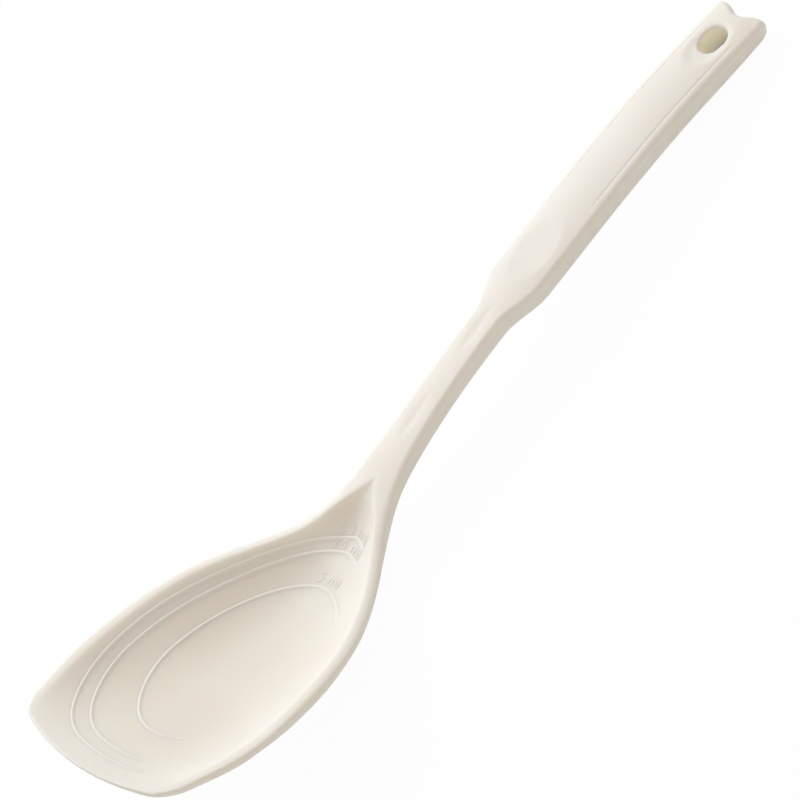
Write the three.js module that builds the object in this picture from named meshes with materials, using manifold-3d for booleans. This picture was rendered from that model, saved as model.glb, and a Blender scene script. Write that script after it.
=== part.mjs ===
// A spoon spatula: silicone bowl, stem and grip, moulded in two halves round a nylon core with a steel spine.
// Millimetres, +Z up. It lies on the heel of its bowl and the end of its handle, with the lip toward -X.
import * as THREE from 'three';
import Module from 'manifold-3d';

// Lengths along the spoon, measured from the middle of the lip
const LENGTH = 277.5;
const WIDEST_AT = 45;
const NECK_AT = 84.9;
const NECK_EASE = 11.8;
const HANDLE_START = 79.5;
const HANDLE_FULL = 120.5;
const SHOULDER_AT = 172.2;
const SHOULDER_LENGTH = 15.5;

// Widths
const BOWL_WIDTH = 70;
const LIP_WIDTH = 54;
const STEM_WIDTH = 9.3;
const GRIP_WIDTH = 17.5;

// Outline of the lip and of the handle's end
const LIP_BOW = 5.2;
const LIP_CORNER = 5;
const LIP_FADE = 40;
const EAR_RADIUS = 1.8;
const NOTCH_DEPTH = 2.2;
const NOTCH_WIDTH = 13.8;
const NOTCH_FADE = 9;

// Lines along the spoon as pairs of distance from the lip and value: first the height of the top edge
const LIP_HEIGHT = 49;
const NECK_HEIGHT = 11.9;
const SHOULDER_HEIGHT = 19;
const END_HEIGHT = 6.7;
const EDGE_LINE = [
  [0, LIP_HEIGHT],
  [28, 35],
  [58, 23.1],
  [78, 15],
  [91, NECK_HEIGHT],
  [103, 13.6],
  [112, 15.6],
  [120, 17.1],
  [142, 18.8],
  [165, SHOULDER_HEIGHT],
  [190, 17.9],
  [215, 16.5],
  [240, 13.9],
  [258, 10.7],
  [LENGTH, END_HEIGHT],
];

// Height of the upright side below the top edge
const RIM_SIDE = 2.6;
const HANDLE_SIDE = 4;
const SIDE_LINE = [
  [0, 2.2],
  [20, RIM_SIDE],
  [30, 2.2],
  [42, RIM_SIDE],
  [55, RIM_SIDE],
  [68, 1.7],
  [80, 1],
  [92, 1],
  [106, 2.6],
  [125, HANDLE_SIDE],
  [LENGTH, HANDLE_SIDE],
];

// Thickness on the centre line
const LIP_THICKNESS = 2.4;
const BOWL_WALL = 4.4;
const HEEL_THICKNESS = 5.6;
const NECK_THICKNESS = 4;
const STEM_THICKNESS = 6.9;
const GRIP_THICKNESS = 10;
const THICKNESS_LINE = [
  [0, LIP_THICKNESS],
  [16, BOWL_WALL],
  [66, BOWL_WALL],
  [84, HEEL_THICKNESS],
  [97, NECK_THICKNESS],
  [101, NECK_THICKNESS],
  [108, 5.6],
  [120, STEM_THICKNESS],
  [150, 7.9],
  [185, 9.2],
  [240, GRIP_THICKNESS],
  [264, 9.4],
  [LENGTH, 7.4],
];

// Width of the rounding along the top edge
const EDGE_ROUND = 1.5;
const NECK_ROUND = 3.2;
const ROUND_LINE = [
  [0, 1.3],
  [40, 1.4],
  [60, 2.2],
  [80, NECK_ROUND],
  [95, 3],
  [120, EDGE_ROUND],
  [LENGTH, EDGE_ROUND],
];

// Hollow of the bowl, its rolled rim and its pointed run-out on the neck
const CAVITY_DEPTH = 13.6;
const DEEPEST_AT = 58;
const HOLLOW_END = 106;
const FRONT_POWER = 2.1;
const BACK_POWER = 1.2;
const RUN_OUT_DEPTH = 3.6;
const RUN_OUT_RISE = 86;
const RUN_OUT_START = 101;
const RUN_OUT_END = 113;
const APEX_START = 97;
const APEX_AT = 111.5;
const APEX_POWER = 2.5;
const RIM_LAND = 3.3;
const RIM_ROLL = 0.6;
const LIP_POWER = 3.8;
const HOLLOW_POWER = 2.4;
const POWER_FADE = 50;

// Roundness of the body: crown of the handle, drop of the rounded edge, belly, undersides of both ends
const CROWN_RADIUS = 26;
const EDGE_DROP = 1.3;
const BOWL_BELLY = [2.3, 0.85];
const HANDLE_BELLY = [3, 0.6];
const LIP_UNDER_ROUND = 0.8;
const END_UNDER_ROUND = 4.5;
const THINNEST = 0.9;

// Hang hole
const HOLE_FROM_END = 12.2;
const HOLE_LENGTH = 9.6;
const HOLE_WIDTH = 7.2;
const HOLE_COLLAR = 1.5;

// Core inside the silicone
const FIT = 0.3;
const SKIN = 1.3;
const GRIP_SIDE_SKIN = 1.8;
const RIM_SIDE_SKIN = 6;
const CORE_FROM_LIP = 15;
const CORE_FROM_END = 3;
const CORE_CORNER = 5;
const KEY_HOLES = 8;
const KEY_HOLE = 4.6;
const KEY_RING_AT = 52;
const KEY_RING_LENGTH = 50;
const KEY_RING_WIDTH = 34;

// Steel spine in the core's channel
const SPINE_WIDTH = 2.4;
const SPINE_DEPTH = 2;
const SPINE_BELOW = 0.3;
const SPINE_START = 120;
const SPINE_END = 242;

// Fineness of the surfaces
const STATIONS = 96;
const CORE_STATIONS = 72;
const SPINE_STATIONS = 16;
const HALF_LINES = 7;
const CORE_HALF_LINES = 5;

const { clamp, lerp, smoothstep } = THREE.MathUtils;
const { Manifold, Mesh } = await loadSolids();

async function loadSolids() {
  const library = await Module();
  library.setup();
  return library;
}

// Smooth curve through points of (place, value), with the slope at each point taken from its neighbours
function throughPoints(points, place) {
  const last = points.length - 1;
  const at = clamp(place, points[0][0], points[last][0]);
  let i = 0;
  while (i < last - 1 && at > points[i + 1][0]) i += 1;
  const slope = (k) => {
    const a = points[Math.max(k - 1, 0)];
    const b = points[Math.min(k + 1, last)];
    return (b[1] - a[1]) / (b[0] - a[0]);
  };
  const [x0, y0] = points[i];
  const [x1, y1] = points[i + 1];
  const span = x1 - x0;
  const t = (at - x0) / span;
  const rise = y1 - y0;
  const m0 = slope(i) * span;
  const m1 = slope(i + 1) * span;
  return y0 + t * (m0 + t * (3 * rise - 2 * m0 - m1 + t * (m0 + m1 - 2 * rise)));
}

// Part of a rounded corner's radius that is missing at a distance from the edge
function cornerLoss(radius, distance) {
  if (distance >= radius) return 0;
  return radius - Math.sqrt(radius ** 2 - (radius - Math.max(distance, 0)) ** 2);
}

// Half width of the outline at a distance from the lip, before the corners are rounded
function halfWidth(s) {
  const body = 1 / (1 + Math.exp((s - NECK_AT) / NECK_EASE));
  const flank = 1 - (1 - LIP_WIDTH / BOWL_WIDTH) * Math.max(1 - s / WIDEST_AT, 0) ** 2.4;
  const bowl = (BOWL_WIDTH - STEM_WIDTH) * body * flank;
  const grip = (GRIP_WIDTH - STEM_WIDTH) * shoulder(s);
  return (STEM_WIDTH + bowl + grip) / 2;
}

function shoulder(s) {
  return smoothstep(s, SHOULDER_AT - SHOULDER_LENGTH / 2, SHOULDER_AT + SHOULDER_LENGTH / 2);
}

function outline(s) {
  return halfWidth(s) - cornerLoss(LIP_CORNER, s) - cornerLoss(EAR_RADIUS, LENGTH - s);
}

// Place along X of a grid point: the lip bows forward and the handle's end has a notch
function along(s, y) {
  const lip = LIP_BOW * (2 * y / LIP_WIDTH) ** 2 * (1 - smoothstep(s, 0, LIP_FADE));
  const across = Math.cos(Math.PI * clamp(y / NOTCH_WIDTH, -0.5, 0.5)) ** 2;
  const notch = NOTCH_DEPTH * across * smoothstep(s, LENGTH - NOTCH_FADE, LENGTH);
  return s + lip - notch;
}

// How far the section has turned from the thin bowl, 0, into the stout handle, 1
function handleShare(s) {
  return smoothstep(s, HANDLE_START, HANDLE_FULL);
}

// Depth of the hollow on the centre line, from nothing at the lip, with a shallow run-out onto the neck
function hollow(s) {
  const reach = s < DEEPEST_AT ? DEEPEST_AT : HOLLOW_END - DEEPEST_AT;
  const t = clamp(Math.abs(s - DEEPEST_AT) / reach, 0, 1);
  if (s < DEEPEST_AT) return CAVITY_DEPTH * (1 - t ** FRONT_POWER);
  const rising = smoothstep(s, RUN_OUT_RISE, RUN_OUT_START);
  const falling = 1 - smoothstep(s, RUN_OUT_START, RUN_OUT_END);
  return CAVITY_DEPTH * (1 - t ** 2) ** BACK_POWER + RUN_OUT_DEPTH * rising * falling;
}

// Depth of the bowl below its rim, whose inner edge is softly rolled over
function bowlDepth(s, y) {
  const centre = hollow(s);
  const apex = clamp((s - APEX_START) / (APEX_AT - APEX_START), 0, 1);
  const inner = Math.max((outline(s) - RIM_LAND) * (1 - apex ** APEX_POWER), 0.3);
  const power = lerp(LIP_POWER, HOLLOW_POWER, smoothstep(s, 0, POWER_FADE));
  const depth = centre * (1 - (Math.abs(y) / inner) ** power);
  const roll = RIM_ROLL * centre / (centre + 1);
  return (depth + Math.hypot(depth, roll)) / 2;
}

// Height of the upper face
function topHeight(s, y) {
  const half = outline(s);
  const u = Math.min(Math.abs(y) / half, 1);
  const across = (half - Math.abs(y)) / throughPoints(ROUND_LINE, s);
  const nearest = Math.min(across, s / EDGE_DROP, (LENGTH - s) / EDGE_DROP);
  const crown = handleShare(s) * half ** 2 / (2 * CROWN_RADIUS) * (1 - u * u);
  const edge = throughPoints(EDGE_LINE, along(s, y));
  return edge + crown - bowlDepth(s, y) - EDGE_DROP * cornerLoss(1, nearest);
}

// Height of the lower face, flat where the heel and the handle's end touch the ground
function bottomHeight(s, y) {
  const u = Math.min(Math.abs(y) / outline(s), 1);
  const share = handleShare(s);
  const side = throughPoints(SIDE_LINE, s);
  const power = lerp(BOWL_BELLY[0], HANDLE_BELLY[0], share);
  const fullness = lerp(BOWL_BELLY[1], HANDLE_BELLY[1], share);
  const belly = Math.max(hollow(s) + throughPoints(THICKNESS_LINE, s) - side, 0);
  const edge = throughPoints(EDGE_LINE, along(s, y));
  const ends = cornerLoss(LIP_UNDER_ROUND, s) + cornerLoss(END_UNDER_ROUND, LENGTH - s);
  const height = Math.max(edge - side - belly * (1 - u ** power) ** fullness, 0) + ends;
  return Math.min(height, edge - EDGE_DROP - THINNEST);
}

// Top, bottom and parting surface of the whole body at a grid point
function faces(s, y) {
  const top = topHeight(s, y);
  const bottom = bottomHeight(s, y);
  return { top, bottom, middle: (top + bottom) / 2 };
}

// Closed solid between an upper and a lower surface over a grid of stations and lines across
function sheet(stations, lines, place) {
  const rows = stations.length;
  const columns = lines.length;
  const positions = [];
  const index = [];
  for (const level of ['upper', 'lower']) {
    for (const s of stations) {
      for (const u of lines) {
        const point = place(s, u);
        positions.push(point.x - LENGTH / 2, point.y, point[level]);
      }
    }
  }
  const at = (level, row, column) => (level * rows + row) * columns + column;
  const quad = (a, b, c, d) => index.push(a, b, c, a, c, d);
  for (let r = 0; r < rows - 1; r += 1) {
    for (let c = 0; c < columns - 1; c += 1) {
      quad(at(0, r, c), at(0, r + 1, c), at(0, r + 1, c + 1), at(0, r, c + 1));
      quad(at(1, r, c), at(1, r, c + 1), at(1, r + 1, c + 1), at(1, r + 1, c));
    }
    quad(at(0, r, 0), at(1, r, 0), at(1, r + 1, 0), at(0, r + 1, 0));
    const e = columns - 1;
    quad(at(0, r, e), at(0, r + 1, e), at(1, r + 1, e), at(1, r, e));
  }
  for (let c = 0; c < columns - 1; c += 1) {
    quad(at(0, 0, c), at(0, 0, c + 1), at(1, 0, c + 1), at(1, 0, c));
    const e = rows - 1;
    quad(at(0, e, c), at(1, e, c), at(1, e, c + 1), at(0, e, c + 1));
  }
  const geometry = new THREE.BufferGeometry();
  geometry.setAttribute('position', new THREE.Float32BufferAttribute(positions, 3));
  geometry.setIndex(index);
  return toSolid(geometry);
}

function toSolid(geometry) {
  const source = geometry.index ? geometry : indexed(geometry);
  const mesh = new Mesh({
    numProp: 3,
    vertProperties: Float32Array.from(source.attributes.position.array),
    triVerts: Uint32Array.from(source.index.array),
  });
  mesh.merge();
  return Manifold.ofMesh(mesh);
}

function indexed(geometry) {
  const count = geometry.attributes.position.count;
  geometry.setIndex(Array.from({ length: count }, (unused, i) => i));
  return geometry;
}

function toGeometry(solid) {
  const mesh = solid.getMesh();
  const geometry = new THREE.BufferGeometry();
  geometry.setAttribute('position', new THREE.Float32BufferAttribute(mesh.vertProperties, 3));
  geometry.setIndex(Array.from(mesh.triVerts));
  geometry.computeVertexNormals();
  return geometry;
}

// Stations crowded toward both ends, and lines across crowded toward both edges
function stationsBetween(start, end, count) {
  const middle = (start + end) / 2;
  const reach = (end - start) / 2;
  return Array.from({ length: count + 1 }, (unused, i) => middle - reach * Math.cos(Math.PI * i / count));
}

function linesAcross(count) {
  return Array.from({ length: 2 * count + 1 }, (unused, i) => Math.sin(Math.PI / 2 * (i - count) / count));
}

const stations = stationsBetween(0, LENGTH, STATIONS);
const lines = linesAcross(HALF_LINES);
const coreLines = linesAcross(CORE_HALF_LINES);

// Half of the silicone body, above or below the parting surface midway between top and bottom
function bodyHalf(isUpper) {
  return sheet(stations, lines, (s, u) => {
    const y = u * outline(s);
    const { top, bottom, middle } = faces(s, y);
    const upper = isUpper ? top : middle - FIT / 2;
    const lower = isUpper ? middle + FIT / 2 : bottom;
    return { x: along(s, y), y, upper, lower };
  });
}

// Half width of the core, which stays well inside the soft rim of the bowl
function coreHalfWidth(s) {
  const inset = lerp(RIM_SIDE_SKIN, GRIP_SIDE_SKIN, handleShare(s));
  const front = cornerLoss(CORE_CORNER, s - CORE_FROM_LIP);
  const back = cornerLoss(CORE_CORNER / 2, LENGTH - CORE_FROM_END - s);
  return halfWidth(s) - inset - front - back;
}

// The core, or with a spare of FIT the space that the silicone leaves for it
function coreBody(spare) {
  const coreStations = stationsBetween(CORE_FROM_LIP, LENGTH - CORE_FROM_END, CORE_STATIONS);
  const first = coreStations[0];
  const last = coreStations[CORE_STATIONS];
  return sheet(coreStations, coreLines, (s, u) => {
    const half = coreHalfWidth(s) + spare;
    const y = u * half;
    const { top, bottom } = faces(s, y);
    const reach = s === first ? -spare : s === last ? spare : 0;
    const cover = SKIN + FIT - spare;
    return { x: along(s, y) + reach, y, upper: top - cover, lower: bottom + cover };
  });
}

// Upright oval post at a place along the spoon, tall enough to pass through the body
function post(s, y, length, width) {
  const shape = new THREE.Shape();
  shape.absellipse(0, 0, length / 2, width / 2, 0, 2 * Math.PI);
  const tall = LIP_HEIGHT + 20;
  const geometry = new THREE.ExtrudeGeometry(shape, { depth: tall, bevelEnabled: false, curveSegments: 10 });
  geometry.translate(s - LENGTH / 2, y, -10);
  return toSolid(geometry);
}

// Keying holes of the blade, on an oval ring, through which the two silicone halves hold each other
function keyHoles(size) {
  const holes = [];
  for (let i = 0; i < KEY_HOLES; i += 1) {
    const turn = 2 * Math.PI * (i + 0.5) / KEY_HOLES;
    const s = KEY_RING_AT + KEY_RING_LENGTH / 2 * Math.cos(turn);
    const y = KEY_RING_WIDTH / 2 * Math.sin(turn);
    holes.push(post(s, y, size, size));
  }
  return Manifold.union(holes);
}

function hangHole(spare) {
  return post(LENGTH - HOLE_FROM_END, 0, HOLE_LENGTH + 2 * spare, HOLE_WIDTH + 2 * spare);
}

// Flat bar under the core's top face, or with a spare the channel cut for it
function spineBody(spare) {
  const spineStations = stationsBetween(SPINE_START - spare, SPINE_END + spare, SPINE_STATIONS);
  return sheet(spineStations, [-1, 0, 1], (s, u) => {
    const y = u * (SPINE_WIDTH / 2 + spare);
    const roof = topHeight(s, 0) - SKIN - FIT - SPINE_BELOW;
    const upper = spare > 0 ? roof + SKIN : roof;
    return { x: s, y, upper, lower: roof - SPINE_DEPTH - spare };
  });
}

const coreSpace = coreBody(FIT).subtract(keyHoles(KEY_HOLE - 2 * FIT)).subtract(hangHole(HOLE_COLLAR));
const core = coreBody(0)
  .subtract(keyHoles(KEY_HOLE))
  .subtract(hangHole(HOLE_COLLAR + FIT))
  .subtract(spineBody(FIT));

const silicone = { color: 0xf0ebe0, roughness: 0.55, metalness: 0 };
const looks = {
  upper_skin: silicone,
  lower_skin: silicone,
  nylon_core: { color: 0xdcd8cc, roughness: 0.6, metalness: 0 },
  steel_spine: { color: 0xb4b6b8, roughness: 0.35, metalness: 1 },
};
const solids = {
  upper_skin: bodyHalf(true).subtract(coreSpace).subtract(hangHole(0)),
  lower_skin: bodyHalf(false).subtract(coreSpace).subtract(hangHole(0)),
  nylon_core: core,
  steel_spine: spineBody(0),
};

const spoon = new THREE.Group();
for (const [name, solid] of Object.entries(solids)) {
  const mesh = new THREE.Mesh(toGeometry(solid), new THREE.MeshStandardMaterial(looks[name]));
  mesh.name = name;
  spoon.add(mesh);
}

export default spoon;
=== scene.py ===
import math

import bpy
import numpy as np
from mathutils import Matrix, Vector


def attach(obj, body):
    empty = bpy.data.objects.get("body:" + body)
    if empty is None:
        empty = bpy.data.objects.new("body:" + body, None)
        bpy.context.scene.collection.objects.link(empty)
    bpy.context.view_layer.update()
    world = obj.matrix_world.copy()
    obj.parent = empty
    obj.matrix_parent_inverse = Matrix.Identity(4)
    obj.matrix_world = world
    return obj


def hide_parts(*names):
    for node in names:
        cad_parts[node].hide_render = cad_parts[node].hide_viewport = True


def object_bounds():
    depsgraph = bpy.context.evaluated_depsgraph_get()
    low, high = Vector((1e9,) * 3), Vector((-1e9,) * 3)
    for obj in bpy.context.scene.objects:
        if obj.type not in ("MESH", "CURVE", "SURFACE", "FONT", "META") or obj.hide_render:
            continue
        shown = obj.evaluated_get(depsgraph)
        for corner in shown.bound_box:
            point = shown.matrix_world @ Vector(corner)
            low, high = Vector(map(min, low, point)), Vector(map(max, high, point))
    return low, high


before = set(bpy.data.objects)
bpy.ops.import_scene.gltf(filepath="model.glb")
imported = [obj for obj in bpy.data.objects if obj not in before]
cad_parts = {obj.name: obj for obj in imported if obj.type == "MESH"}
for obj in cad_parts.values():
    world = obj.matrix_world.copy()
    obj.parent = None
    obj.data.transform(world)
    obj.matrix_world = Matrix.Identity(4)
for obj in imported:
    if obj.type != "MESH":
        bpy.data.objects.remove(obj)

CAD_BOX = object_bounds()
MM = 0.001

# Lengths along the spoon in millimetres, measured from the middle of the lip
LENGTH = 277.5
WIDEST_AT = 45
NECK_AT = 84.9
NECK_EASE = 11.8
HANDLE_START = 79.5
HANDLE_FULL = 120.5
SHOULDER_AT = 172.2
SHOULDER_LENGTH = 15.5

# Widths
BOWL_WIDTH = 70
LIP_WIDTH = 54
STEM_WIDTH = 9.3
GRIP_WIDTH = 17.5

# Outline of the bowl's flanks, the lip and the handle's end
FLANK_POWER = 2.4
LIP_BOW = 5.2
LIP_CORNER = 5
LIP_FADE = 40
EAR_RADIUS = 1.8
NOTCH_DEPTH = 2.2
NOTCH_WIDTH = 13.8
NOTCH_FADE = 9

# Lines along the spoon as (distance from the lip, value): height of the top edge above the ground,
# height of the upright side below that edge, thickness on the centre line, width of the edge's rounding
EDGE_LINE = (
    (0, 49.0), (28, 35.0), (58, 23.1), (78, 15.0), (91, 11.9), (103, 13.6), (112, 15.6), (120, 17.1),
    (142, 18.8), (165, 19.0), (190, 17.9), (215, 16.5), (240, 13.9), (258, 10.7), (LENGTH, 6.7),
)
SIDE_LINE = (
    (0, 2.2), (20, 2.6), (30, 2.2), (42, 2.6), (55, 2.6), (68, 1.7), (80, 1.0), (92, 1.0),
    (106, 2.6), (125, 4), (LENGTH, 4),
)
THICKNESS_LINE = (
    (0, 2.4), (16, 4.4), (66, 4.4), (84, 5.6), (97, 4), (101, 4), (108, 5.6), (120, 6.9),
    (150, 7.9), (185, 9.2), (240, 10), (264, 9.4), (LENGTH, 7.4),
)
ROUND_LINE = ((0, 1.3), (40, 1.4), (60, 2.2), (80, 3.2), (95, 3.0), (120, 1.5), (LENGTH, 1.5))

# Hollow of the bowl, its rim and its pointed run-out on the neck
CAVITY_DEPTH = 13.6
DEEPEST_AT = 58
HOLLOW_END = 106
FRONT_POWER = 2.1
BACK_POWER = 1.2
RUN_OUT_DEPTH = 3.6
RUN_OUT_RISE = 86
RUN_OUT_START = 101
RUN_OUT_END = 113
RIM_LAND = 3.3
RIM_ROLL = 0.6
LIP_POWER = 3.8
HOLLOW_POWER = 2.4
LIP_POWER_FADE = 50
APEX_START = 97
APEX_AT = 111.5
APEX_POWER = 2.5
NARROWEST = 0.3

# Rounding of the edges, crown of the handle's top, and powers that shape the underside's cross-section
EDGE_DROP = 1.3
LIP_UNDER_ROUND = 0.8
END_UNDER_ROUND = 4.5
THINNEST = 0.9
CROWN_RADIUS = 26
BOWL_BELLY = (2.3, 0.85)
HANDLE_BELLY = (3, 0.6)

# Hang hole with its dished surround
HOLE_FROM_END = 12.2
HOLE_LENGTH = 9.6
HOLE_WIDTH = 7.2
HOLE_ROUND = 0.8
HOLE_DISH = dict(at=263.5, length=20, width=11.5, depth=0.8, edge=0.5)

# Moulded details of the handle's top: thumb dish, two stem grooves, a fine line inside each grip edge
THUMB_AT = 188
THUMB_LENGTH = 21
THUMB_WIDTH = 11.6
THUMB_DEPTH = 0.72
THUMB_ROLL = 0.07
STEM_GROOVES = ((124.5, 139.5), (152.3, 169.0))
GROOVE_DEPTH = 0.34
GROOVE_HALF_WIDTH = 1.2
GROOVE_NARROWEST = 0.35
GROOVE_BLUNT = 0.7
FINE_LINE_START = 204
FINE_LINE_END = 268
FINE_LINE_FADE_IN = 6
FINE_LINE_FADE_OUT = 3
FINE_LINE_INSET = 2.3
FINE_LINE_DEPTH = 0.16
FINE_LINE_HALF_WIDTH = 0.28

# Measuring lines: each is an egg-shaped arc from its front over its widest place to its rear, drawn
# between two angles round the bowl, with its number behind it
RINGS = (
    dict(
        number="20", front=6.8, widest=39.7, rear=96.5, half_width=28.6,
        blunt=0.54, taper=1.42, turn=(-20, 199), number_gap=0.8,
    ),
    dict(
        number="15", front=10.5, widest=39.5, rear=91.8, half_width=25.7,
        blunt=0.66, taper=1.24, turn=(-25, 199), number_gap=0.8,
    ),
    dict(
        number="5", front=20.5, widest=44.5, rear=80.5, half_width=18.8,
        blunt=0.95, taper=1.05, turn=(-40, 214), number_gap=1.6,
    ),
)
RING_WIDTH = 1.1
RING_HEIGHT = 0.28
RING_FADE = 24
RING_ROUND = 1.5
RING_SINK = 0.02
NUMBER_SIZE = 4.4
NUMBER_HEIGHT = 0.05
NUMBER_BEVEL = 0.09
NUMBER_SHIFT = 1

# Fineness of the meshes: (start, end, step) of each stretch along the body, and counts of lines and steps
BODY_STRETCHES = (
    (0, 4, 0.16), (4, 118, 0.6), (118, 200, 0.8),
    (200, 252, 1.2), (252, 273, 0.3), (273, LENGTH, 0.13),
)
BODY_LINES = 129
EVEN_SHARE = 0.35
HOLE_STEPS = 96
HOLE_CUT = (-5, 25)
RING_STEPS = 280
RING_LINES = 9
NUMBER_BEVEL_STEPS = 2

# Camera: the photograph's viewing angle
CAMERA_AZIMUTH = -12.11
CAMERA_ELEVATION = 51.99
CAMERA_ROLL = -44.24
CAMERA_DISTANCE = 1.8384
CAMERA_LENS = 305.5
CAMERA_SENSOR = 36
CAMERA_AIM = Vector((-5.90, 4.33, 22.11)) * MM

# Light: a soft key lamp, a weak low lamp on the near side and an even sky
KEY_DIRECTION = Vector((0.06, 0.67, 0.74))
KEY_DISTANCE = 1.6
KEY_SIZE = 1.1
KEY_POWER = 17.4
KEY_COLOUR = (0.92, 1, 1.07)
FILL_PLACE = Vector((-0.15, -1.6, 0.11))
FILL_SIZE = (1.2, 0.2)
FILL_POWER = 1.8
FILL_COLOUR = (0.92, 1, 1.03)
SKY_COLOUR = (1, 0.9, 0.79, 1)
SKY_STRENGTH = 0.5

# Colours in linear light
CREAM = (0.9, 0.872, 0.826, 1)
CREAM_WARM = (0.888, 0.853, 0.8, 1)
# Painted shade: darker, warmer colour multiplied in where the bowl is deep
BOWL_PAINTED_SHADE = (0.955, 0.94, 0.91, 1)
# Paler, warmer cream on the hang hole's wall: painted bounce light inside the hole
HOLE_PAINTED_BOUNCE = (0.99, 0.925, 0.835, 1)
NYLON = (0.70, 0.66, 0.56, 1)
STEEL = (0.46, 0.47, 0.48, 1)
FLOOR_WHITE = (0.9, 0.9, 0.9, 1)

# Silicone: how translucent it is, how far light reaches in it in metres, and its sheen
TRANSLUCENCY = 0.4
LIGHT_REACH = 0.004
HOLE_TRANSLUCENCY = 0.9
HOLE_LIGHT_REACH = 0.008
REACH_BY_COLOUR = (1.0, 0.72, 0.45)
SILICONE_IOR = 1.41
SILICONE_SHEEN = 0.4
# Bowl depths in millimetres where the painted shade starts and where it is full
PAINTED_SHADE_DEPTHS = (1, 11)

# Textures: noise as (scale, detail), the range of noise that is used, bump as (strength, distance)
CLOUD = (38, 3)
PATCH = (160, 2)
GRAIN = (2600, 2)
GRAIN_BUMP = (0.08, 0.0001)
FLOW = (90, 4)
NYLON_GRAIN = (900, 2)
NYLON_BUMP = (0.1, 0.0001)
STREAK_SCALE = (60, 4000, 4000)
CLOUD_RANGE = (0.35, 0.7)
NOISE_RANGE = (0.3, 0.7)
SILICONE_ROUGHNESS = (0.5, 0.62)
NYLON_ROUGHNESS = (0.5, 0.6)
STEEL_ROUGHNESS = (0.28, 0.4)

# Floor, in metres: half its width and its height, which is just under the heel, and how far the camera
# sees it as pure white
FLOOR_REACH = 6.0
FLOOR_HEIGHT = -0.0001
FLOOR_ROUGHNESS = 0.9
FLOOR_SEEN_WHITE = 0.965


def smooth(x, low, high):
    """Smooth step from 0 at low to 1 at high."""
    t = np.clip((np.asarray(x, float) - low) / (high - low), 0, 1)
    return t * t * (3 - 2 * t)


def mix(a, b, t):
    return a + (b - a) * t


def on_line(line, x):
    """Value of a line along the spoon, on a smooth curve through its named places."""
    places, heights = np.array(line, float).T
    last = len(places) - 1
    before = np.maximum(np.arange(last + 1) - 1, 0)
    after = np.minimum(np.arange(last + 1) + 1, last)
    slopes = (heights[after] - heights[before]) / (places[after] - places[before])
    at = np.clip(x, places[0], places[last])
    i = np.clip(np.searchsorted(places, at) - 1, 0, last - 1)
    span = places[i + 1] - places[i]
    rise = heights[i + 1] - heights[i]
    t = (at - places[i]) / span
    first, second = slopes[i] * span, slopes[i + 1] * span
    return heights[i] + t * (first + t * (3 * rise - 2 * first - second + t * (first + second - 2 * rise)))


def corner_loss(radius, distance):
    """Part of a rounded corner's radius that is missing at a distance from the edge."""
    d = np.clip(distance, 0, radius)
    return radius - np.sqrt(np.maximum(radius ** 2 - (radius - d) ** 2, 0))


def edge_height(x):
    """Height of the top edge above the ground."""
    return on_line(EDGE_LINE, x)


def half_outline(s):
    """Half width of the spoon at a distance from the lip."""
    body = 1 / (1 + np.exp((s - NECK_AT) / NECK_EASE))
    flank = 1 - (1 - LIP_WIDTH / BOWL_WIDTH) * np.maximum(1 - s / WIDEST_AT, 0) ** FLANK_POWER
    shoulder = smooth(s, SHOULDER_AT - SHOULDER_LENGTH / 2, SHOULDER_AT + SHOULDER_LENGTH / 2)
    bowl = (BOWL_WIDTH - STEM_WIDTH) * body * flank
    grip = (GRIP_WIDTH - STEM_WIDTH) * shoulder
    corners = corner_loss(LIP_CORNER, s) + corner_loss(EAR_RADIUS, LENGTH - s)
    return (STEM_WIDTH + bowl + grip) / 2 - corners


def along(s, y):
    """Place along X: the lip bows forward and the handle's end has a notch."""
    lip = LIP_BOW * (2 * y / LIP_WIDTH) ** 2 * (1 - smooth(s, 0, LIP_FADE))
    dip = np.cos(np.pi * np.clip(y / NOTCH_WIDTH, -0.5, 0.5)) ** 2
    notch = dip * smooth(s, LENGTH - NOTCH_FADE, LENGTH)
    return s + lip - NOTCH_DEPTH * notch


def hollow(s):
    """Depth of the bowl on the centre line, with a shallow run-out onto the neck."""
    reach = np.where(s < DEEPEST_AT, DEEPEST_AT, HOLLOW_END - DEEPEST_AT)
    t = np.clip(np.abs(s - DEEPEST_AT) / reach, 0, 1)
    run_out = smooth(s, RUN_OUT_RISE, RUN_OUT_START) * (1 - smooth(s, RUN_OUT_START, RUN_OUT_END))
    back = CAVITY_DEPTH * (1 - t ** 2) ** BACK_POWER + RUN_OUT_DEPTH * run_out
    return np.where(s < DEEPEST_AT, CAVITY_DEPTH * (1 - t ** FRONT_POWER), back)


def bowl_depth(s, y):
    """Depth of the bowl below its rim, whose inner edge is softly rolled over."""
    centre = hollow(s)
    apex = np.clip((s - APEX_START) / (APEX_AT - APEX_START), 0, 1)
    inner = np.maximum((half_outline(s) - RIM_LAND) * (1 - apex ** APEX_POWER), NARROWEST)
    power = mix(LIP_POWER, HOLLOW_POWER, smooth(s, 0, LIP_POWER_FADE))
    depth = centre * (1 - (np.abs(y) / inner) ** power)
    roll = RIM_ROLL * centre / (centre + 1)
    return (depth + np.sqrt(depth ** 2 + roll ** 2)) / 2


def oval_dish(s, y, at, length, width, depth, edge):
    """Flat-floored oval dish; edge is the share of its reach that its sloped border takes."""
    reach = np.hypot(2 * (s - at) / length, 2 * y / width)
    return depth * (1 - smooth(reach, 1 - edge, 1))


def thumb_dish(s, y):
    """Shallow oval dish, curved like part of a ball, with a softly rolled border."""
    dish = THUMB_DEPTH * (1 - (2 * (s - THUMB_AT) / THUMB_LENGTH) ** 2 - (2 * y / THUMB_WIDTH) ** 2)
    return (dish + np.sqrt(dish ** 2 + THUMB_ROLL ** 2)) / 2


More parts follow.
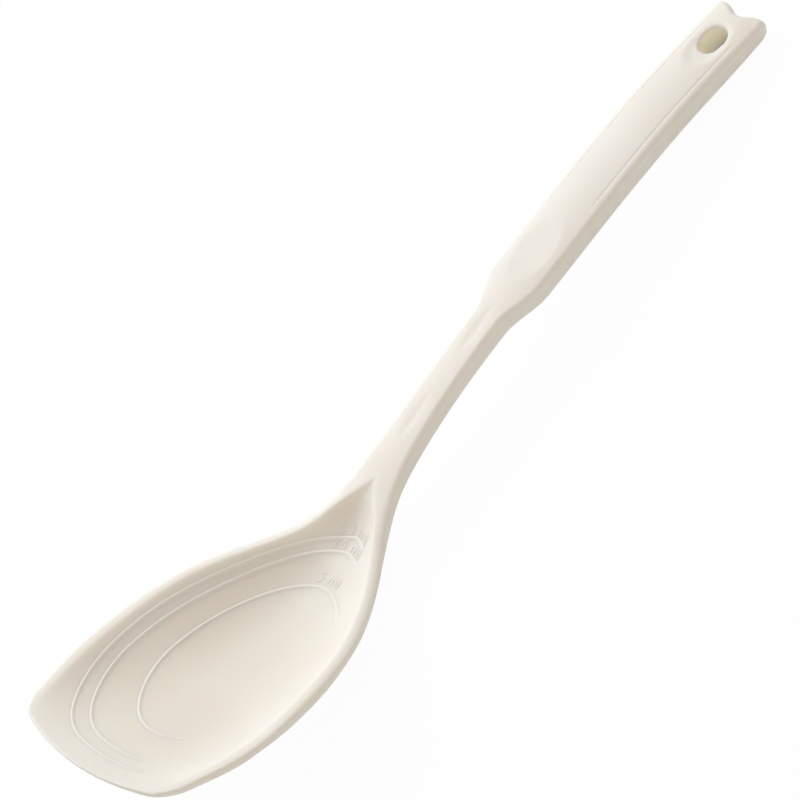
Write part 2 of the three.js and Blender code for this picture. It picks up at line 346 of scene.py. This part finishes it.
def hole_distance(s, y):
    """About how far a place is outside the hang hole."""
    half_length, half_width = HOLE_LENGTH / 2, HOLE_WIDTH / 2
    reach = np.hypot((s - LENGTH + HOLE_FROM_END) / half_length, y / half_width)
    return (reach - 1) * math.sqrt(half_length * half_width)


def handle_details(s, y):
    """Depth of the moulded details in the handle's top face."""
    depth = thumb_dish(s, y) + oval_dish(s, y, **HOLE_DISH)
    for start, end in STEM_GROOVES:
        t = np.clip((s - start) / (end - start), 0, 1)
        lens = np.sin(np.pi * t) ** GROOVE_BLUNT
        half_width = GROOVE_HALF_WIDTH * (GROOVE_NARROWEST + lens)
        depth = depth + GROOVE_DEPTH * lens * np.exp(-(y / half_width) ** 2)
    fade_in = smooth(s, FINE_LINE_START, FINE_LINE_START + FINE_LINE_FADE_IN)
    fade_out = 1 - smooth(s, FINE_LINE_END - FINE_LINE_FADE_OUT, FINE_LINE_END)
    ends = fade_in * fade_out
    inset = half_outline(s) - np.abs(y) - FINE_LINE_INSET
    depth = depth + FINE_LINE_DEPTH * ends * np.exp(-(inset / FINE_LINE_HALF_WIDTH) ** 2)
    return depth + corner_loss(HOLE_ROUND, hole_distance(s, y))


def top_height(s, y):
    """Height of the upper face."""
    half = half_outline(s)
    u = np.minimum(np.abs(y) / half, 1)
    across = on_line(ROUND_LINE, s)
    nearest = np.minimum((half - np.abs(y)) / across, np.minimum(s, LENGTH - s) / EDGE_DROP)
    share = smooth(s, HANDLE_START, HANDLE_FULL)
    crown = share * half ** 2 / (2 * CROWN_RADIUS) * (1 - u * u)
    edge = edge_height(along(s, y))
    return edge + crown - bowl_depth(s, y) - handle_details(s, y) - EDGE_DROP * corner_loss(1, nearest)


def bottom_height(s, y):
    """Height of the lower face, flat where the heel and the handle's end touch the ground."""
    u = np.minimum(np.abs(y) / half_outline(s), 1)
    share = smooth(s, HANDLE_START, HANDLE_FULL)
    side = on_line(SIDE_LINE, s)
    inner, outer = (mix(bowl, handle, share) for bowl, handle in zip(BOWL_BELLY, HANDLE_BELLY))
    roundness = (1 - u ** inner) ** outer
    belly = np.maximum(hollow(s) + on_line(THICKNESS_LINE, s) - side, 0) * roundness
    ends = corner_loss(LIP_UNDER_ROUND, s) + corner_loss(END_UNDER_ROUND, LENGTH - s)
    edge = edge_height(along(s, y))
    height = np.maximum(edge - side - belly, 0) + ends
    return np.minimum(height, edge - EDGE_DROP - THINNEST) + corner_loss(HOLE_ROUND, hole_distance(s, y))


def to_frame(s, y, z):
    """Points in the frame, in metres."""
    return np.stack([along(s, y) - LENGTH / 2, y, z], axis=-1) * MM


def add_object(name, points, faces, material):
    """A smooth mesh object with one material."""
    mesh = bpy.data.meshes.new(name)
    mesh.from_pydata(np.asarray(points).tolist(), [], faces)
    mesh.shade_smooth()
    obj = bpy.data.objects.new(name, mesh)
    bpy.context.scene.collection.objects.link(obj)
    mesh.materials.append(material)
    return obj


def body_stations():
    """Stations along the spoon, close together at the lip, round the hang hole and at the end."""
    runs = [np.linspace(a, b, round((b - a) / step), endpoint=False) for a, b, step in BODY_STRETCHES]
    return np.append(np.concatenate(runs), LENGTH)


def body_lines():
    """Lines across, closer together toward the edges."""
    v = np.linspace(-1, 1, BODY_LINES)
    return EVEN_SHARE * v + (1 - EVEN_SHARE) * np.sin(np.pi / 2 * v)


def grid_faces(rows, columns, start, flip):
    """Quads of a grid of points numbered row by row."""
    r, c = np.meshgrid(np.arange(rows - 1), np.arange(columns - 1), indexing="ij")
    a = (start + r * columns + c).ravel()
    corners = np.stack([a, a + columns, a + columns + 1, a + 1], axis=1)
    return (corners[:, ::-1] if flip else corners).tolist()


def border_faces(rows, columns):
    """Quads that join the borders of two grids, the second numbered after the first."""
    border = [r * columns for r in range(rows)]
    border += [(rows - 1) * columns + c for c in range(1, columns)]
    border += [r * columns + columns - 1 for r in range(rows - 2, -1, -1)]
    border += list(range(columns - 2, 0, -1))
    count = rows * columns
    return [(a, a + count, b + count, b) for a, b in zip(border, border[1:] + border[:1])]


def silicone_body(material, hole_material):
    """The whole silicone skin as one closed mesh with its hang hole cut through."""
    s, u = np.meshgrid(body_stations(), body_lines(), indexing="ij")
    y = u * half_outline(s)
    rows, columns = s.shape
    upper = to_frame(s, y, top_height(s, y)).reshape(-1, 3)
    lower = to_frame(s, y, bottom_height(s, y)).reshape(-1, 3)
    count = rows * columns
    faces = grid_faces(rows, columns, 0, False) + grid_faces(rows, columns, count, True)
    faces += border_faces(rows, columns)
    body = add_object("silicone_body", np.clip(np.vstack([upper, lower]), *CAD_BOX), faces, material)
    # Depth below the rim at each point, which drives the painted shade in the bowl
    depth = np.append(bowl_depth(s, y).ravel(), np.zeros(count))
    body.data.attributes.new("bowl_depth", "FLOAT", "POINT").data.foreach_set("value", depth)
    cut_hang_hole(body, hole_material)
    return body


def cut_hang_hole(body, wall_material):
    """Cut the oval hang hole through the handle, with its own paler, warmer material on the wall, which
    paints bounce light into the hole.
    """
    steps = HOLE_STEPS
    turn = np.arange(steps) * 2 * np.pi / steps
    s = LENGTH - HOLE_FROM_END + HOLE_LENGTH / 2 * np.cos(turn)
    y = HOLE_WIDTH / 2 * np.sin(turn)
    rings = [np.stack([s - LENGTH / 2, y, np.full(steps, z)], axis=1) * MM for z in HOLE_CUT]
    sides = [(i, (i + 1) % steps, steps + (i + 1) % steps, steps + i) for i in range(steps)]
    faces = sides + [tuple(range(steps))[::-1], tuple(range(steps, 2 * steps))]
    cutter = add_object("hang_hole_cutter", np.vstack(rings), faces, wall_material)
    cut = body.modifiers.new("hang_hole", "BOOLEAN")
    cut.object, cut.operation, cut.solver = cutter, "DIFFERENCE", "EXACT"
    cut.material_mode = "TRANSFER"
    graph = bpy.context.evaluated_depsgraph_get()
    mesh = bpy.data.meshes.new_from_object(body.evaluated_get(graph))
    body.modifiers.clear()
    plain, body.data = body.data, mesh
    mesh.name = "silicone_body"
    bpy.data.meshes.remove(plain)
    bpy.data.meshes.remove(cutter.data)
    mesh.shade_smooth()


def ring_path(ring, turns):
    """Places of a measuring line by the angle round the bowl: 0 is its rear, 90 its left, 180 its front."""
    forward, sideways = np.cos(np.radians(turns)), np.sin(np.radians(turns))
    reach = np.where(forward > 0, ring["rear"] - ring["widest"], ring["widest"] - ring["front"])
    power = np.where(forward > 0, ring["taper"], ring["blunt"])
    s = ring["widest"] + reach * forward
    return s, ring["half_width"] * np.sign(sideways) * np.abs(sideways) ** power


def measuring_line(ring, material):
    """A low rounded bead in the bowl, fading out at both ends."""
    first, last = ring["turn"]
    turns = np.linspace(first, last, RING_STEPS)
    path = np.stack(ring_path(ring, turns), axis=1)
    way = np.gradient(path, axis=0)
    way /= np.linalg.norm(way, axis=1)[:, None]
    across = np.linspace(-1, 1, RING_LINES)
    fade = smooth(turns, first, first + RING_FADE) * (1 - smooth(turns, last - RING_FADE, last))
    s = path[:, :1] - way[:, 1:] * across * RING_WIDTH / 2
    y = path[:, 1:] + way[:, :1] * across * RING_WIDTH / 2
    rise = RING_HEIGHT * (1 - across ** 2) ** RING_ROUND * fade[:, None] - RING_SINK
    points = to_frame(s, y, top_height(s, y) + rise).reshape(-1, 3)
    faces = grid_faces(RING_STEPS, RING_LINES, 0, True)
    return add_object("measuring_line_" + ring["number"], points, faces, material)


def measuring_number(ring, material):
    """A small raised number on the handle's side of its line."""
    name = "measuring_number_" + ring["number"]
    curve = bpy.data.curves.new(name, "FONT")
    curve.body = ring["number"] + " ml"
    curve.align_x = "CENTER"
    curve.size = NUMBER_SIZE
    curve.extrude = NUMBER_HEIGHT
    curve.bevel_depth = NUMBER_BEVEL
    curve.bevel_resolution = NUMBER_BEVEL_STEPS
    curve.offset = -NUMBER_BEVEL
    source = bpy.data.objects.new(name + "_source", curve)
    bpy.context.scene.collection.objects.link(source)
    graph = bpy.context.evaluated_depsgraph_get()
    mesh = bpy.data.meshes.new_from_object(source.evaluated_get(graph))
    bpy.data.objects.remove(source)
    bpy.data.curves.remove(curve)
    flat = np.array([v.co[:] for v in mesh.vertices])
    y = NUMBER_SHIFT - flat[:, 0]
    curl = (ring["rear"] - ring["widest"]) * (np.abs(y) / ring["half_width"]) ** (2 / ring["taper"]) / 2
    s = ring["rear"] + ring["number_gap"] - curl + flat[:, 1]
    points = to_frame(s, y, top_height(s, y) + flat[:, 2])
    mesh.vertices.foreach_set("co", points.ravel())
    mesh.update()
    mesh.name = name
    mesh.materials.clear()
    mesh.materials.append(material)
    obj = bpy.data.objects.new(name, mesh)
    bpy.context.scene.collection.objects.link(obj)
    return obj


def new_material(name):
    material = bpy.data.materials.new(name)
    material.use_nodes = True
    tree = material.node_tree
    return material, tree, tree.nodes["Principled BSDF"]


def noise(tree, scale, detail):
    """Noise in the object's own space, in metres."""
    place = tree.nodes.new("ShaderNodeTexCoord")
    texture = tree.nodes.new("ShaderNodeTexNoise")
    texture.inputs["Scale"].default_value = scale
    texture.inputs["Detail"].default_value = detail
    tree.links.new(place.outputs["Object"], texture.inputs["Vector"])
    return texture


def value_ramp(tree, source, low, high, start, end):
    """Value that goes from start to end as the source goes from low to high."""
    node = tree.nodes.new("ShaderNodeMapRange")
    node.inputs["From Min"].default_value = low
    node.inputs["From Max"].default_value = high
    node.inputs["To Min"].default_value = start
    node.inputs["To Max"].default_value = end
    tree.links.new(source, node.inputs["Value"])
    return node.outputs["Result"]


def colour_ramp(tree, source, low, high, start, end):
    """Colour that goes from start to end as the source goes from low to high."""
    node = tree.nodes.new("ShaderNodeValToRGB")
    first, last = node.color_ramp.elements
    first.position, first.color = low, start
    last.position, last.color = high, end
    tree.links.new(source, node.inputs["Fac"])
    return node.outputs["Color"]


def add_bump(tree, shader, source, strength, distance):
    bump = tree.nodes.new("ShaderNodeBump")
    bump.inputs["Strength"].default_value = strength
    bump.inputs["Distance"].default_value = distance
    tree.links.new(source, bump.inputs["Height"])
    tree.links.new(bump.outputs["Normal"], shader.inputs["Normal"])


def shade(colour, factor):
    return tuple(c * factor for c in colour[:3]) + (1,)


def bowl_painted_shade(tree, colour):
    """The colour with painted shade: darker and warmer where the bowl is deep."""
    depth = tree.nodes.new("ShaderNodeAttribute")
    depth.attribute_name = "bowl_depth"
    share = value_ramp(tree, depth.outputs["Fac"], *PAINTED_SHADE_DEPTHS, 0, 1)
    tint = tree.nodes.new("ShaderNodeMix")
    tint.data_type, tint.blend_type = "RGBA", "MULTIPLY"
    inputs = {socket.identifier: socket for socket in tint.inputs}
    outputs = {socket.identifier: socket for socket in tint.outputs}
    inputs["B_Color"].default_value = BOWL_PAINTED_SHADE
    tree.links.new(colour, inputs["A_Color"])
    tree.links.new(share, inputs["Factor_Float"])
    return outputs["Result_Color"]


def silicone_material(name, translucency, reach, warm, pale):
    """Matt cream silicone: faint cloudy tint, painted shade deep in the bowl, uneven sheen and a fine
    blasted-mould grain.
    """
    material, tree, shader = new_material(name)
    cloud = noise(tree, *CLOUD).outputs["Fac"]
    # Cloudy tint, then painted shade where the bowl is deep
    colour = bowl_painted_shade(tree, colour_ramp(tree, cloud, *CLOUD_RANGE, warm, pale))
    tree.links.new(colour, shader.inputs["Base Color"])
    patch = noise(tree, *PATCH).outputs["Fac"]
    roughness = value_ramp(tree, patch, *NOISE_RANGE, *SILICONE_ROUGHNESS)
    tree.links.new(roughness, shader.inputs["Roughness"])
    add_bump(tree, shader, noise(tree, *GRAIN).outputs["Fac"], *GRAIN_BUMP)
    shader.inputs["Subsurface Weight"].default_value = translucency
    shader.inputs["Subsurface Radius"].default_value = REACH_BY_COLOUR
    shader.inputs["Subsurface Scale"].default_value = reach
    shader.inputs["IOR"].default_value = SILICONE_IOR
    shader.inputs["Specular IOR Level"].default_value = SILICONE_SHEEN
    return material


def nylon_material():
    """Moulded nylon of the core, with faint flow marks."""
    material, tree, shader = new_material("core_nylon")
    flow = noise(tree, *FLOW).outputs["Fac"]
    pale = shade(NYLON, 1.06)
    tree.links.new(colour_ramp(tree, flow, *NOISE_RANGE, NYLON, pale), shader.inputs["Base Color"])
    tree.links.new(value_ramp(tree, flow, *NOISE_RANGE, *NYLON_ROUGHNESS), shader.inputs["Roughness"])
    add_bump(tree, shader, noise(tree, *NYLON_GRAIN).outputs["Fac"], *NYLON_BUMP)
    return material


def steel_material():
    """Drawn steel bar with fine lengthwise streaks."""
    material, tree, shader = new_material("spine_steel")
    place = tree.nodes.new("ShaderNodeTexCoord")
    stretch = tree.nodes.new("ShaderNodeMapping")
    stretch.inputs["Scale"].default_value = STREAK_SCALE
    streaks = tree.nodes.new("ShaderNodeTexNoise")
    streaks.inputs["Scale"].default_value = 1
    tree.links.new(place.outputs["Object"], stretch.inputs["Vector"])
    tree.links.new(stretch.outputs["Vector"], streaks.inputs["Vector"])
    streak = streaks.outputs["Fac"]
    dark = shade(STEEL, 0.85)
    tree.links.new(colour_ramp(tree, streak, *NOISE_RANGE, dark, STEEL), shader.inputs["Base Color"])
    tree.links.new(value_ramp(tree, streak, *NOISE_RANGE, *STEEL_ROUGHNESS), shader.inputs["Roughness"])
    shader.inputs["Metallic"].default_value = 1
    return material


def floor_material():
    """White floor that shows white to the camera and keeps a soft shadow."""
    material, tree, shader = new_material("studio_white")
    shader.inputs["Base Color"].default_value = FLOOR_WHITE
    shader.inputs["Roughness"].default_value = FLOOR_ROUGHNESS
    glow = tree.nodes.new("ShaderNodeEmission")
    glow.inputs["Strength"].default_value = 1
    rays = tree.nodes.new("ShaderNodeLightPath")
    seen = tree.nodes.new("ShaderNodeMath")
    seen.operation = "MAXIMUM"
    tree.links.new(rays.outputs["Is Camera Ray"], seen.inputs[0])
    tree.links.new(rays.outputs["Is Glossy Ray"], seen.inputs[1])
    part = tree.nodes.new("ShaderNodeMath")
    part.operation = "MULTIPLY"
    part.inputs[1].default_value = FLOOR_SEEN_WHITE
    tree.links.new(seen.outputs["Value"], part.inputs[0])
    blend = tree.nodes.new("ShaderNodeMixShader")
    tree.links.new(part.outputs["Value"], blend.inputs["Fac"])
    tree.links.new(shader.outputs["BSDF"], blend.inputs[1])
    tree.links.new(glow.outputs["Emission"], blend.inputs[2])
    tree.links.new(blend.outputs["Shader"], tree.nodes["Material Output"].inputs["Surface"])
    return material


def build_spoon():
    """Silicone skin with its measuring lines and numbers, over the CAD core and spine."""
    silicone = silicone_material("cream_silicone", TRANSLUCENCY, LIGHT_REACH, CREAM_WARM, CREAM)
    raised = silicone_material("cream_silicone_raised", 0, LIGHT_REACH, CREAM_WARM, CREAM)
    # The hole's wall gets a paler, warmer cream: painted bounce light
    hole_bounce_warm = shade(HOLE_PAINTED_BOUNCE, 0.98)
    hole_painted_bounce = silicone_material(
        "cream_silicone_hole_painted_bounce", HOLE_TRANSLUCENCY, HOLE_LIGHT_REACH, hole_bounce_warm, HOLE_PAINTED_BOUNCE,
    )
    body = silicone_body(silicone, hole_painted_bounce)
    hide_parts("upper_skin", "lower_skin")
    pieces = [body]
    for ring in RINGS:
        pieces += [measuring_line(ring, raised), measuring_number(ring, raised)]
    for piece in pieces:
        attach(piece, "root")
    for node, material in (("nylon_core", nylon_material()), ("steel_spine", steel_material())):
        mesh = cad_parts[node].data
        mesh.materials.clear()
        mesh.materials.append(material)


def build_floor():
    """A white floor under the spoon."""
    a, z = FLOOR_REACH, FLOOR_HEIGHT
    corners = [(-a, -a, z), (a, -a, z), (a, a, z), (-a, a, z)]
    floor = add_object("studio_floor", corners, [(0, 1, 2, 3)], floor_material())


def camera_axes():
    """Right, up and backward of the camera, from its azimuth, elevation and roll."""
    azimuth, elevation = math.radians(CAMERA_AZIMUTH), math.radians(CAMERA_ELEVATION)
    level = math.cos(elevation)
    back = Vector((math.sin(azimuth) * level, -math.cos(azimuth) * level, math.sin(elevation)))
    right = Vector((0, 0, 1)).cross(back).normalized()
    turn = Matrix.Rotation(math.radians(CAMERA_ROLL), 3, back)
    right = turn @ right
    return right, back.cross(right), back


def build_camera():
    right, up, back = camera_axes()
    camera = bpy.data.objects.new("camera", bpy.data.cameras.new("camera"))
    camera.data.lens = CAMERA_LENS
    camera.data.sensor_width = CAMERA_SENSOR
    turn = Matrix((right, up, back)).transposed().to_4x4()
    camera.matrix_world = Matrix.Translation(CAMERA_AIM + back * CAMERA_DISTANCE) @ turn
    bpy.context.scene.collection.objects.link(camera)
    bpy.context.scene.camera = camera


def add_lamp(name, place, size, power, colour):
    """An area lamp that shines at the origin."""
    lamp = bpy.data.lights.new(name, "AREA")
    lamp.shape, lamp.size, lamp.size_y = "RECTANGLE", *size
    lamp.energy, lamp.color = power, colour
    obj = bpy.data.objects.new(name, lamp)
    obj.location = place
    obj.rotation_euler = place.to_track_quat("Z", "Y").to_euler()
    bpy.context.scene.collection.objects.link(obj)
    return lamp


def build_lights():
    """A broad soft lamp up and to the left of the picture, a weak low one and even light all round."""
    place = KEY_DIRECTION.normalized() * KEY_DISTANCE
    key = add_lamp("key", place, (KEY_SIZE, KEY_SIZE), KEY_POWER, KEY_COLOUR)
    key.shape = "DISK"
    add_lamp("fill", FILL_PLACE, FILL_SIZE, FILL_POWER, FILL_COLOUR)
    world = bpy.data.worlds.new("studio")
    world.use_nodes = True
    background = world.node_tree.nodes["Background"]
    background.inputs["Color"].default_value = SKY_COLOUR
    background.inputs["Strength"].default_value = SKY_STRENGTH
    bpy.context.scene.world = world
    bpy.context.scene.view_settings.view_transform = "Standard"


build_spoon()
build_floor()
build_camera()
build_lights()
